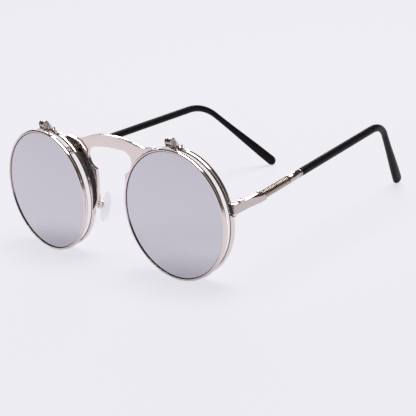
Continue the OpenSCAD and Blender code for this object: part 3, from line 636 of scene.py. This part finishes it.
def ferrule(word, side):
    """A drawn tube with a rolled collar at each end, against the spring and under the sleeve's mouth."""
    bore, collar, mouth = CORE_D / 2 + 0.05, SPRING_D / 2, SLEEVE_D / 2
    neck = (collar + mouth) / 2 - 0.06
    soft, groove = 0.12, 0.02
    a, b = FERRULE_AT, SLEEVE_AT - 0.01
    first_end, last_start = a + COLLAR_LEN, b - COLLAR_LEN + groove

    def bead(y0, y1, r, steps=6):
        """The rounded outside of a collar from y0 to y1."""
        half = (y1 - y0) / 2
        return [
            (r - soft * (1 - math.sin(rad(t))), y0 + half * (1 - math.cos(rad(t))))
            for t in (180 * i / (2 * steps) for i in range(1, 2 * steps))
        ]

    profile = [
        (bore, a), (collar - soft, a), *bead(a, first_end, collar), (collar - soft, first_end),
        (neck - soft, first_end + groove), (neck, first_end + groove + soft),
        (neck, last_start - groove - soft), (neck - soft, last_start - groove),
        (mouth - soft, last_start), *bead(last_start, b, mouth), (mouth - soft, b), (bore, b),
    ]
    stand_for(
        lathe("ferrule_" + word + "_turned", profile, at_wire(side), SATIN, steps=64, smooth_angle=45),
        "temple_ferrule_" + word,
    )


for word, side in SIDES:
    sleeve(word, side)
    core(word, side)
    spring(word, side)
    ferrule(word, side)
    blade(word, side)
    end_piece(word, side)


# Bridge plate


def spline(points, steps):
    """A smooth curve through points, with the end points doubled."""
    out = []
    last = len(points) - 1
    for i in range(last):
        a, b, c, d = (Vector(points[k]) for k in (max(i - 1, 0), i, i + 1, min(i + 2, last)))
        for k in range(steps):
            u = k / steps
            out.append(0.5 * (
                2 * b + (c - a) * u + (2 * a - 5 * b + 4 * c - d) * u * u + (3 * b - a - 3 * c + d) * u ** 3
            ))
    return [tuple(p) for p in out] + [tuple(points[last])]


NASAL_X = EYE_X - REAR_R
CROWN_Z = REAR_R + BRIDGE_CROWN


# The plate's outline is drawn in hundredths of the rear rim's radius, as in the CAD source


def near_middle(x, z):
    return x * REAR_R / 100, CROWN_Z - z * REAR_R / 100


def from_rim(x, z, out=0.0):
    return NASAL_X - out + x * REAR_R / 100, CROWN_Z - z * REAR_R / 100


def in_opening(x, z):
    return NASAL_X + x * REAR_R / 100, CROWN_Z - BRIDGE_BAND - z * REAR_R / 100


def rim_crossing(inner, outer, r):
    """The point between two others at which a line leaves the circle of the rim."""
    a, b = Vector(inner), Vector(outer)
    for _ in range(40):
        middle = (a + b) / 2
        if math.hypot(middle.x - EYE_X, middle.y) < r:
            a = middle
        else:
            b = middle
    return tuple(b)


def plate_outline():
    """Half of the plate's front outline, clear of the rim, from the crown round to the nose opening."""
    top = spline([
        near_middle(0, 0), near_middle(13.9, 0.6), near_middle(26.6, 1.8), from_rim(-7.4, 4.9),
        from_rim(7, 9), from_rim(26.2, 12.9), from_rim(41, 12.1), from_rim(52, 11.1), from_rim(53.3, 18),
    ], 10)
    leg = spline([
        from_rim(4.1, 118.9), from_rim(2, 127), from_rim(-4.5, 119.7), from_rim(-10.7, 109.4),
        from_rim(-14.1, 96.3), from_rim(-15.6, 79.5), from_rim(0, 61.1, NOSE_TIP),
    ], 10)
    opening = spline([
        from_rim(0.4, 58.2, NOSE_TIP), in_opening(-6.6, 34.4), in_opening(-0.8, 27), in_opening(1.2, 18),
        in_opening(-0.8, 10.7), in_opening(-7.4, 5.3), in_opening(-18, 2), (0, CROWN_Z - BRIDGE_BAND),
    ], 10)
    r = REAR_R + 0.04

    def outside(p):
        return math.hypot(p[0] - EYE_X, p[1]) > r

    last = max(i for i, p in enumerate(top) if outside(p) and all(outside(q) for q in top[:i]))
    first = min(i for i, p in enumerate(leg) if outside(p) and all(outside(q) for q in leg[i:]))
    start = rim_crossing(top[last + 1], top[last], r) if last + 1 < len(top) else top[last]
    end = rim_crossing(leg[first - 1], leg[first], r) if first else leg[first]
    a0 = math.degrees(math.atan2(start[1], start[0] - EYE_X))
    a1 = math.degrees(math.atan2(end[1], end[0] - EYE_X)) % 360
    return top[:last + 1] + arc((EYE_X, 0), r, a0, a1, 40) + leg[first:] + opening


def bridge_plate():
    """The plate is cut flat, then rolled about an upright axis and leant back."""
    half = plate_outline()
    outline = half + [(-x, z) for x, z in half[-2:0:-1]]
    roll_r = (EYE_X - REAR_R * 0.75) / math.sin(rad(WRAP))
    at_nasal_side = (REAR_FRONT + BRIDGE_SET) * math.cos(rad(WRAP)) - REAR_R * math.sin(rad(WRAP))
    front = at_nasal_side - NASAL_X ** 2 / (2 * roll_r)
    mesh = bmesh.new()
    sheets = [[mesh.verts.new((x, y, z)) for x, z in outline] for y in (0, BRIDGE_T)]
    count = len(outline)
    mesh.faces.new(sheets[0])
    mesh.faces.new(sheets[1][::-1])
    for i in range(count):
        j = (i + 1) % count
        mesh.faces.new((sheets[0][j], sheets[0][i], sheets[1][i], sheets[1][j]))
    bmesh.ops.recalc_face_normals(mesh, faces=mesh.faces)
    round_edges(mesh, [e for e in mesh.edges if e.verts[0].co.y == e.verts[1].co.y], 0.16, 4)
    for axis, low, high, step in (("x", -32, 32, 1.0), ("z", -16, 28, 2.0)):
        normal = Vector((1, 0, 0)) if axis == "x" else Vector((0, 0, 1))
        t = low + step / 2
        while t < high:
            everything = [*mesh.verts, *mesh.edges, *mesh.faces]
            bmesh.ops.bisect_plane(mesh, geom=everything, plane_co=normal * t, plane_no=normal)
            t += step
    lean = math.tan(rad(BRIDGE_LEAN))
    for v in mesh.verts:
        v.co.y += front + roll_r - math.sqrt(roll_r ** 2 - v.co.x ** 2) + (v.co.z - REAR_R / 2) * lean
        v.co.z += EYE_Z
    plate = from_bmesh("bridge_plate_rolled", mesh, placed(Matrix.Identity(4)), POLISHED, 50)
    stand_for(plate, "bridge_plate")


# Flip hinges, in a frame whose origin is on the hinge axis over the middle of the barrel


def at_flip_hinge(side):
    across = SCREW_SHIFT - side * NOSE_SHIFT
    return at_rim(side) @ Matrix.Translation((across, FLIP_AXIS_BACK, FLIP_R + FLIP_AXIS_UP))


def along_x(x):
    """A frame whose Y axis points along the hinge, so that turned pieces lie on it."""
    return Matrix.Translation((x, 0, 0)) @ Matrix.Rotation(rad(-90), 4, "Z")


def slotted_head(name, r, low, high, matrix, look):
    """A screw head about the local Y axis, flat on top with rounded edges, slotted half way down."""
    middle = (low + high) / 2
    seat = lathe(name + "_seat", [(0.01, low), (r, low), (r, middle), (0.01, middle)], matrix, look, steps=64)
    edge = math.degrees(math.asin(SLOT_W / 2 / r))
    halves = []
    for turn in (0, 180):
        outline = arc((0, 0), r, edge + turn, 180 - edge + turn, 28)
        halves.append(prism(name + "_half", outline, "Y", middle - 0.01, high, matrix, look, 0.07))
    return join(seat, *halves)


def rim_drop(side, x):
    """How far the circle of a rim, of the two rims' mean radius, has dropped at x along the hinge."""
    return (x + SCREW_SHIFT - side * NOSE_SHIFT) ** 2 / (2 * (FLIP_R + REAR_R) / 2)


def flip_hinge_base(word, side):
    """Two ears on a saddle that follows the rear rim, with a stud beside them."""
    name = "flip_hinge_" + word
    place = at_flip_hinge(side)
    half = BARREL_LEN / 2
    rim_y, foot_z = REAR_FRONT - FLIP_AXIS_BACK, REAR_R - FLIP_R - FLIP_AXIS_UP
    foot_front, foot_back = rim_y + 0.1, rim_y + 1.4
    foot_low, foot_high = foot_z - 0.15, foot_z + 0.45
    soft, play = 0.1, 0.02
    parts = []
    for x in (-half, half - EAR_W):
        recess = x > 0
        inner = (PIN_HEAD_R if recess else PIN_R) + play
        profile = [
            (PIN_R + play, x), (BARREL_R - soft, x), (BARREL_R, x + soft), (BARREL_R, x + EAR_W - soft),
            (BARREL_R - soft, x + EAR_W), (inner, x + EAR_W),
        ]
        if recess:
            floor_x = x + EAR_W - PIN_HEAD_T - play
            profile += [(inner, floor_x), (PIN_R + play, floor_x)]
        parts.append(lathe(name + "_ear", profile, place @ along_x(0), SATIN, steps=96, smooth_angle=50))
        parts.append(prism(name + "_leg", [
            (0.3, -BARREL_R + 0.03), (foot_front, foot_low), (foot_back, foot_low),
            (foot_back, foot_high), (BARREL_R * 0.86, BARREL_R * 0.45), (0.9, -0.2),
        ], "X", x, x + EAR_W, place, SATIN, 0.08))
    steps = 16
    low, high = -half - 0.9, half + 2.4
    along = [low + (high - low) * i / steps for i in range(steps + 1)]
    saddle = [(x, foot_z - rim_drop(side, x) + 0.44) for x in along]
    saddle += [(x, foot_z - rim_drop(side, x) - 0.1) for x in reversed(along)]
    parts.append(prism(name + "_saddle", saddle, "Y", foot_front, foot_back, place, SATIN, 0.1))
    foot_of_stud = Matrix.Translation((half + 1.8, rim_y + 0.7, foot_z - 0.6))
    parts.append(lathe(name + "_stud", [
        (0.01, 0), (0.45, 0), (0.3, 1.8), (0.27, 1.9), (0.18, 1.97), (0.01, 2),
    ], place @ foot_of_stud @ Matrix.Rotation(rad(90), 4, "X"), SATIN, steps=32, smooth_angle=50))
    stand_for(join(*parts), "flip_hinge_base_" + word)


def flip_hinge_screw(word, side):
    name = "flip_screw_" + word
    place = at_flip_hinge(side) @ along_x(0)
    half = BARREL_LEN / 2
    seat = half - PIN_HEAD_T
    head = slotted_head(name, PIN_HEAD_R, seat, half, place, SCREW)
    shaft = lathe(name + "_shaft", [
        (0.01, -half), (PIN_R - 0.08, -half), (PIN_R, 0.08 - half), (PIN_R, seat), (0.01, seat),
    ], place, SCREW, steps=48, smooth_angle=50)
    stand_for(join(head, shaft), "flip_hinge_screw_" + word)


def flip_tab(word, side):
    """The moving knuckle, the neck that drops from it and the gusset on top of the flip rim."""
    name = "flip_tab_" + word
    place = at_flip_hinge(side)
    half = BARREL_LEN / 2 - EAR_W - 0.06
    rim_z = -FLIP_AXIS_UP
    soft, bore = 0.08, PIN_R + 0.05
    barrel = lathe(name + "_barrel", [
        (bore, -half), (BARREL_R - soft, -half), (BARREL_R, soft - half),
        (BARREL_R, half - soft), (BARREL_R - soft, half), (bore, half),
    ], place @ along_x(0), SATIN, steps=96, smooth_angle=50)
    neck = prism(name + "_neck", [
        (-BARREL_R * 0.966, -BARREL_R * 0.26), (-2.2, rim_z - 0.3), (-1.0, rim_z - 0.3),
        (0, -BARREL_R + 0.03), (-0.5, -0.9),
    ], "X", -half, half, place, SATIN, 0.07)
    upper = spline([(4.8, rim_z - 0.75), (3.12, rim_z + 0.1), (1.92, rim_z + 0.4), (half, rim_z + 0.95)], 6)
    steps, end = 20, 4.6
    lower = []
    for i in range(steps + 1):
        x = -end + 2 * end * i / steps
        lower.append((x, min(rim_z - 0.2 - rim_drop(side, x), rim_z - 0.2)))
    outline = lower + upper + [(-x, z) for x, z in upper[::-1]]
    foot = prism(name + "_foot", outline, "Y", -2.2, -1.3, place, POLISHED, 0.07)
    stand_for(join(barrel, neck, foot), "flip_tab_" + word)


def stop_peg(word, side):
    node = "stop_peg_" + word
    r = REAR_R - REAR_WALL / 2
    on_rim = Matrix.Translation((-r * math.cos(rad(PEG_ANGLE)), 0, r * math.sin(rad(PEG_ANGLE))))
    profile = [
        (0.01, PEG_TIP), (PEG_R - 0.12, PEG_TIP), (PEG_R - 0.03, PEG_TIP + 0.04), (PEG_R, PEG_TIP + 0.13),
        (PEG_R, REAR_FRONT), (0.01, REAR_FRONT),
    ]
    place = at_rim(side) @ on_side(side) @ on_rim
    stand_for(lathe(node + "_turned", profile, place, SCREW, steps=48, smooth_angle=50), node)


def temple_screw(word, side):
    node = "temple_screw_" + word
    place = at_temple(side) @ Matrix.Translation((AXIS_IN, 0, 0)) @ Matrix.Rotation(rad(90), 4, "X")
    low, top = -BLADE_H / 2, BLADE_H / 2 + 0.02
    head = slotted_head(node, TEMPLE_HEAD_R, top, top + TEMPLE_HEAD_T, place, SCREW)
    shaft = lathe(node + "_shaft", [
        (0.01, low), (TEMPLE_PIN_R - 0.08, low), (TEMPLE_PIN_R, low + 0.08), (TEMPLE_PIN_R, top), (0.01, top),
    ], place, SCREW, steps=48, smooth_angle=50)
    stand_for(join(head, shaft), node)


# Nose pads and their arms

PAD_CENTRE = Vector((9.9, 8.0, EYE_Z - 5.1))
PAD_H, PAD_W, PAD_T = 13.0, 7.0, 2.0
BOX_IN, BOX_OUT, BOX_WALL, BOSS_HALF = PAD_T / 2 + 0.35, PAD_T / 2 + 2.1, 0.4, 0.6
PAD_TURN = Matrix.Rotation(rad(-25), 4, "Z") @ Matrix.Rotation(rad(-15), 4, "Y")
PAD_FRAME = Matrix.Translation(PAD_CENTRE) @ PAD_TURN


def nose_pad(word, side):
    """A soft oval, wider at its lower end, drawn in towards both faces and slightly domed."""
    sides = 96
    shares = (0.02, 0.15, 0.3, 0.45, 0.58, 0.66)
    sections = [
        *((-PAD_T / 2 + 0.12 * (k / 0.72) ** 2, k) for k in shares),
        *((PAD_T / 2 * math.sin(rad(f)) * 0.88, 0.7 + 0.3 * math.cos(rad(f))) for f in range(-90, 91, 10)),
        *((PAD_T / 2 - 0.12 * (k / 0.72) ** 2, k) for k in reversed(shares)),
    ]
    rings = []
    for x, k in sections:
        ring = []
        for j in range(sides):
            a = 2 * math.pi * j / sides
            egg = 1 - 0.12 * math.sin(a)
            ring.append((x, PAD_W / 2 * k * egg * math.cos(a), PAD_H / 2 * k * math.sin(a)))
        rings.append(ring)
    points, faces = tube(rings)
    place = placed(on_side(side) @ PAD_FRAME)
    body = add_mesh("nose_pad_" + word + "_soft", points, faces, place, PAD, 80)
    boss = prism("nose_pad_" + word + "_boss", [
        (PAD_T / 2 - 0.3, -1), (1.6, -1), *arc((1.75, 0), 0.75, -60, 60, 12), (1.6, 1), (PAD_T / 2 - 0.3, 1),
    ], "Y", -BOSS_HALF, BOSS_HALF, place, PAD, 0.1)
    stand_for(join(body, boss), "nose_pad_" + word)


def pad_arm(word, side):
    """A bent wire from the back of the rear rim to the open box that holds the pad's boss."""
    rim = Matrix.Translation((EYE_X, 0, EYE_Z)) @ Matrix.Rotation(rad(WRAP), 4, "Z")
    start = rim @ Vector((REAR_WALL / 2 - REAR_R, REAR_FRONT + REAR_DEPTH + 0.03, 0.4))
    knots = [
        start, start + Vector((0.25, 1.5, -0.05)), start + Vector((0.8, 2.7, -1.8)),
        start + Vector((0.9, 1.9, -3.7)),
        PAD_FRAME @ Vector((BOX_OUT + 0.75, -0.1, 0.1)), PAD_FRAME @ Vector((BOX_OUT - 0.15, 0, 0)),
    ]
    path = [Vector(p) for p in spline(knots, 16)]
    rings = sweep(path, [(0.5, 0.5)] * len(path), 32, Vector((1, 0, 0.3)))
    points, faces = tube([ring[::-1] for ring in rings])
    wire = add_mesh("pad_arm_" + word + "_wire", points, faces, placed(on_side(side)), POLISHED, 60)
    outer, inner = BOSS_HALF + 0.06 + BOX_WALL, BOSS_HALF + 0.06
    box = prism("pad_arm_" + word + "_box", [
        (BOX_IN, -outer), (BOX_OUT, -outer), (BOX_OUT, outer), (BOX_IN, outer),
        (BOX_IN, inner), (BOX_OUT - BOX_WALL, inner), (BOX_OUT - BOX_WALL, -inner), (BOX_IN, -inner),
    ], "Z", -1.2, 1.2, placed(on_side(side) @ PAD_FRAME), POLISHED, 0.1)
    stand_for(join(wire, box), "pad_arm_" + word)


bridge_plate()
for word, side in SIDES:
    flip_hinge_base(word, side)
    flip_hinge_screw(word, side)
    flip_tab(word, side)
    stop_peg(word, side)
    temple_screw(word, side)
    nose_pad(word, side)
    pad_arm(word, side)

for name, obj in frame["nodes"].items():
    obj.data.materials.clear()
    obj.data.materials.append(SLOT_LOOKS[SLOT_OF[name]])
    obj.data.shade_smooth()
    obj.data.set_sharp_from_angle(angle=rad(30))


# Stage: floor, light and camera

PALE = (0.847, 0.839, 0.888)
# The even share of the floor's shading in mirrors, under the object and in the distance, with the metres
# between which near turns to far
EVEN_IN_MIRRORS, EVEN_NEAR, EVEN_FAR = 0.5, 0.83, 1.0
NEAR_TO_FAR = (0.3, 1.1)
# The camera as solved from the photograph: degrees, then millimetres right, up and away, then pixels
AZIMUTH, ELEVATION, ROLL = 45.67, 16.96, -5.99
CAMERA_RIGHT, CAMERA_UP, CAMERA_AWAY = 36.43, 21.66, 463.45
FOCAL_PIXELS, PHOTO_PIXELS, SENSOR = 1200, 416, 36


def seen_by_camera(nodes, links):
    """Two factors: one for camera and see-through rays, one that counts mirror rays in as well."""
    path = nodes.new("ShaderNodeLightPath")
    clear = nodes.new("ShaderNodeMath")
    clear.operation = "MAXIMUM"
    links.new(path.outputs["Is Camera Ray"], clear.inputs[0])
    links.new(path.outputs["Is Transmission Ray"], clear.inputs[1])
    either = nodes.new("ShaderNodeMath")
    either.operation = "MAXIMUM"
    links.new(clear.outputs[0], either.inputs[0])
    links.new(path.outputs["Is Glossy Ray"], either.inputs[1])
    return clear.outputs[0], either.outputs[0]


def build_stage():
    """A pale paper floor, partly even so that it meets the background, partly lit so that it takes shadows."""
    mesh = bpy.data.meshes.new("floor")
    size = 4.0
    corners = [(-size, -size, 0), (size, -size, 0), (size, size, 0), (-size, size, 0)]
    mesh.from_pydata(corners, [], [(0, 1, 2, 3)])
    paper = bpy.data.materials.new("floor")
    paper.use_nodes = True
    nodes, links = paper.node_tree.nodes, paper.node_tree.links
    nodes.clear()
    matt = nodes.new("ShaderNodeBsdfDiffuse")
    matt.inputs["Color"].default_value = (*PALE, 1)
    even = nodes.new("ShaderNodeEmission")
    even.inputs["Color"].default_value = (*PALE, 1)
    direct, mirrored = seen_by_camera(nodes, links)
    share = nodes.new("ShaderNodeMath")
    share.operation = "MULTIPLY"
    share.inputs[1].default_value = EVEN_IN_MIRRORS
    spot = nodes.new("ShaderNodeNewGeometry")
    away = nodes.new("ShaderNodeVectorMath")
    away.operation = "LENGTH"
    far = nodes.new("ShaderNodeMapRange")
    more_even = (EVEN_NEAR - EVEN_IN_MIRRORS, EVEN_FAR - EVEN_IN_MIRRORS)
    for socket, value in zip(("From Min", "From Max", "To Min", "To Max"), (*NEAR_TO_FAR, *more_even)):
        far.inputs[socket].default_value = value
    both = nodes.new("ShaderNodeMath")
    both.operation = "MULTIPLY_ADD"
    mix = nodes.new("ShaderNodeMixShader")
    out = nodes.new("ShaderNodeOutputMaterial")
    links.new(mirrored, share.inputs[0])
    links.new(spot.outputs["Position"], away.inputs[0])
    links.new(away.outputs["Value"], far.inputs["Value"])
    links.new(direct, both.inputs[0])
    links.new(far.outputs["Result"], both.inputs[1])
    links.new(share.outputs[0], both.inputs[2])
    links.new(both.outputs[0], mix.inputs["Fac"])
    links.new(matt.outputs[0], mix.inputs[1])
    links.new(even.outputs[0], mix.inputs[2])
    links.new(mix.outputs[0], out.inputs["Surface"])
    mesh.materials.append(paper)
    floor = bpy.data.objects.new("floor", mesh)
    bpy.context.scene.collection.objects.link(floor)
    floor.location.z = -0.0001


def build_world():
    """A dark studio above a pale one: polished metal shows the dark, the camera sees only the pale."""
    world = bpy.data.worlds.new("studio")
    world.use_nodes = True
    bpy.context.scene.world = world
    nodes, links = world.node_tree.nodes, world.node_tree.links
    nodes.clear()
    place = nodes.new("ShaderNodeTexCoord")
    split = nodes.new("ShaderNodeSeparateXYZ")
    ramp = nodes.new("ShaderNodeValToRGB")
    stops = (
        (0.0, (0.78, 0.77, 0.83)), (0.5, (0.62, 0.6, 0.64)), (0.53, (0.3, 0.28, 0.29)),
        (0.58, (0.075, 0.064, 0.064)), (0.8, (0.06, 0.05, 0.052)), (1.0, (0.14, 0.12, 0.114)),
    )
    for spare in range(len(stops) - 2):
        ramp.color_ramp.elements.new(0.5)
    for element, (position, colour) in zip(ramp.color_ramp.elements, stops):
        element.position = position
        element.color = (*colour, 1)
    shift = nodes.new("ShaderNodeMath")
    shift.operation = "MULTIPLY_ADD"
    shift.inputs[1].default_value = 0.5
    shift.inputs[2].default_value = 0.5
    around = nodes.new("ShaderNodeBackground")
    behind = nodes.new("ShaderNodeBackground")
    behind.inputs["Color"].default_value = (*PALE, 1)
    mix = nodes.new("ShaderNodeMixShader")
    out = nodes.new("ShaderNodeOutputWorld")
    links.new(place.outputs["Generated"], split.inputs["Vector"])
    links.new(split.outputs["Z"], shift.inputs[0])
    links.new(shift.outputs[0], ramp.inputs["Fac"])
    links.new(ramp.outputs["Color"], around.inputs["Color"])
    links.new(seen_by_camera(nodes, links)[0], mix.inputs["Fac"])
    links.new(around.outputs[0], mix.inputs[1])
    links.new(behind.outputs[0], mix.inputs[2])
    links.new(mix.outputs[0], out.inputs["Surface"])


def lamp(name, place, target, size, power, colour=(1, 1, 1)):
    data = bpy.data.lights.new(name, "AREA")
    data.shape = "RECTANGLE"
    data.size, data.size_y = size
    data.energy = power
    data.color = colour
    obj = bpy.data.objects.new(name, data)
    obj.location = place
    obj.rotation_euler = (Vector(target) - Vector(place)).to_track_quat("-Z", "Y").to_euler()
    bpy.context.scene.collection.objects.link(obj)


def build_camera():
    azimuth, elevation, roll = rad(AZIMUTH), rad(ELEVATION), rad(ROLL)
    away = Vector((
        math.sin(azimuth) * math.cos(elevation), -math.cos(azimuth) * math.cos(elevation), math.sin(elevation)
    ))
    level = (-away).cross(Vector((0, 0, 1))).normalized()
    upright = level.cross(-away)
    right = level * math.cos(roll) + upright * math.sin(roll)
    up = upright * math.cos(roll) - level * math.sin(roll)
    place = right * CAMERA_RIGHT + up * CAMERA_UP + away * CAMERA_AWAY - Vector((0, MID_Y, 0))
    data = bpy.data.cameras.new("camera")
    data.sensor_width = SENSOR
    data.lens = FOCAL_PIXELS * SENSOR / PHOTO_PIXELS
    data.clip_start = 0.01
    camera = bpy.data.objects.new("camera", data)
    turn = Matrix((right, up, away)).transposed()
    camera.matrix_world = Matrix.Translation(place * MM) @ turn.to_4x4()
    bpy.context.scene.collection.objects.link(camera)
    bpy.context.scene.camera = camera


build_stage()
build_world()
lamp("top", (0.0, 0.25, 1.6), (0, 0, 0), (1.3, 1.0), 27.0, (1.0, 0.99, 0.98))
lamp("strip", (1.15, 0.3, 1.0), (0, 0, 0.03), (0.14, 1.5), 0.55, (1.0, 0.98, 0.96))
lamp("back_left", (-1.3, 1.1, 0.75), (0, 0, 0), (0.9, 0.5), 9.0, (1.0, 0.96, 0.9))
build_camera()
bpy.context.scene.view_settings.view_transform = "Standard"
